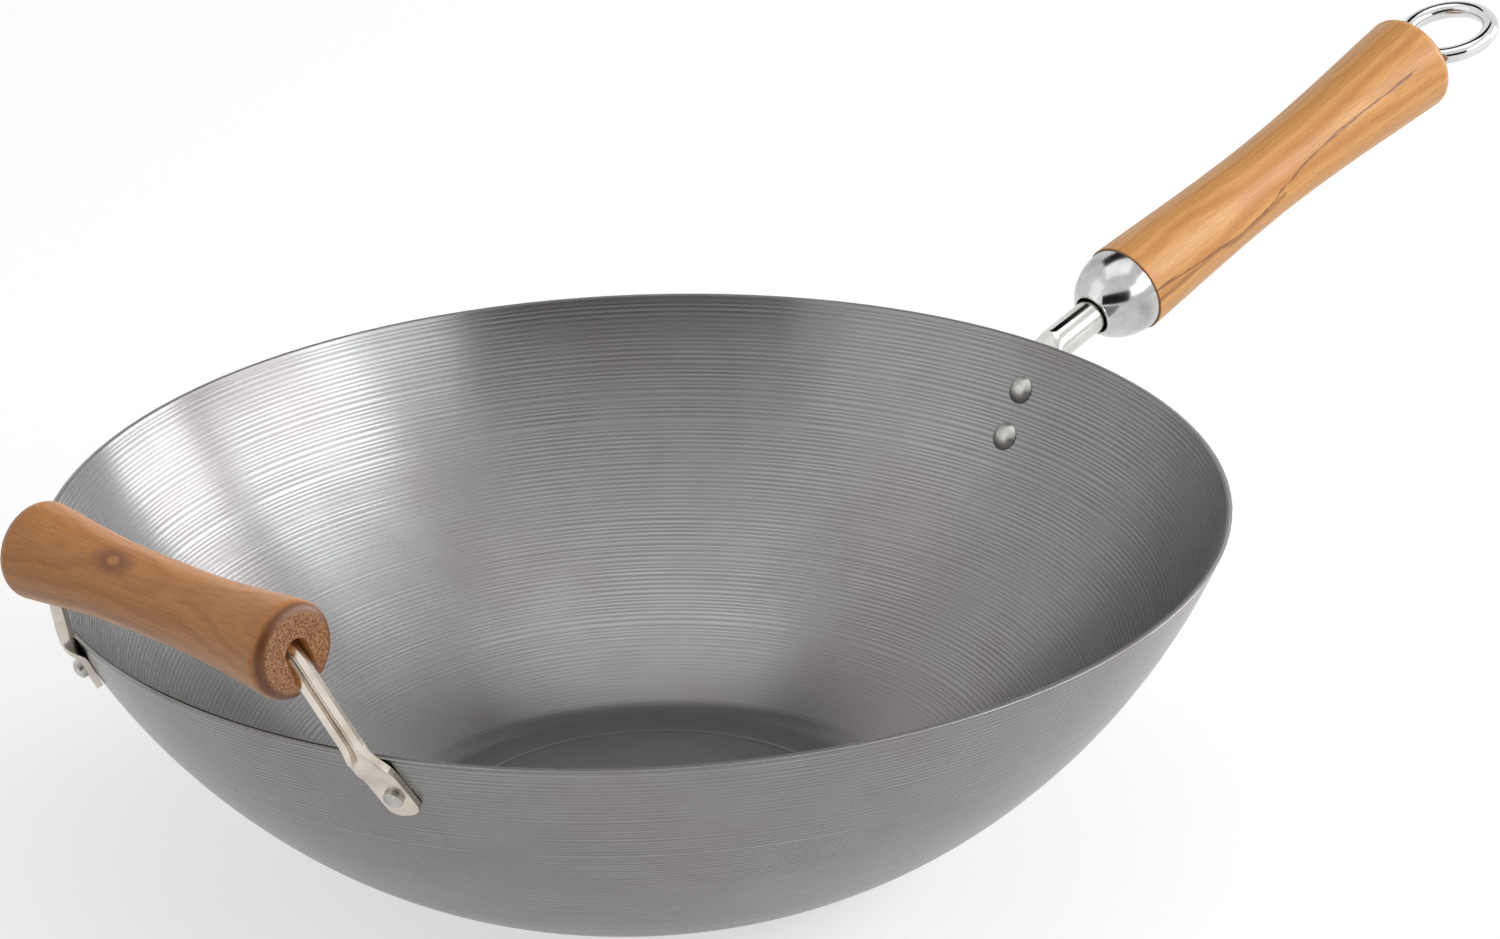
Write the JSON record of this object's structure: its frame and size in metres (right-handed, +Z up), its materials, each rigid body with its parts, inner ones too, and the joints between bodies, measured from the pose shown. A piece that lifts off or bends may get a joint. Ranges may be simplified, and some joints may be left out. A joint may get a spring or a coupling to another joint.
{
  "type": "wok",
  "caption": "Flat-based spun steel wok with a long wooden grip in a plated ferrule, a hanging ring at its end and a short wooden helper grip on a folded steel bracket",
  "frame": {"origin": "Centre of the flat base, on the surface the wok stands on", "axes": "+X out along the long handle, +Y square to the line of the two handles, +Z up out of the open bowl; the helper grip is on -X"},
  "size_m": [0.593, 0.3556, 0.1593],
  "materials": {
    "spun_steel": "bare carbon steel, spun in fine rings, with faint heat tints",
    "plated_bracket": "bright nickel plate over steel tube",
    "rivet_steel": "dull zinc-plated steel with set domes",
    "nut_brass": "turned",
    "plated_ferrule": "bright plate on pressed sheet",
    "grip_wood": "stained and varnished, dark streaks along the grain",
    "plated_wire": "bright plate on steel wire",
    "folded_strip": "polished strip with bright fold edges",
    "helper_wood": "stained and varnished, darker end grain"
  },
  "bodies": {
    "wok": {"wok_bowl": "spun_steel", "long_handle_bracket": "plated_bracket", "long_handle_rivets": "rivet_steel", "tube_nut": "nut_brass", "ferrule": "plated_ferrule", "long_grip": "grip_wood", "helper_bracket": "folded_strip", "helper_grip": "helper_wood", "helper_rivets": "rivet_steel"},
    "ring": {"tie_rod": "plated_wire", "hanging_ring": "plated_wire"}
  },
  "joints": [
    {"name": "ring_turn", "type": "hinge", "parent": "wok", "child": "ring", "pos_m": [0.3789, 0, 0.14876], "axis": [0.9673, 0, 0.2538], "continuous": true}
  ]
}
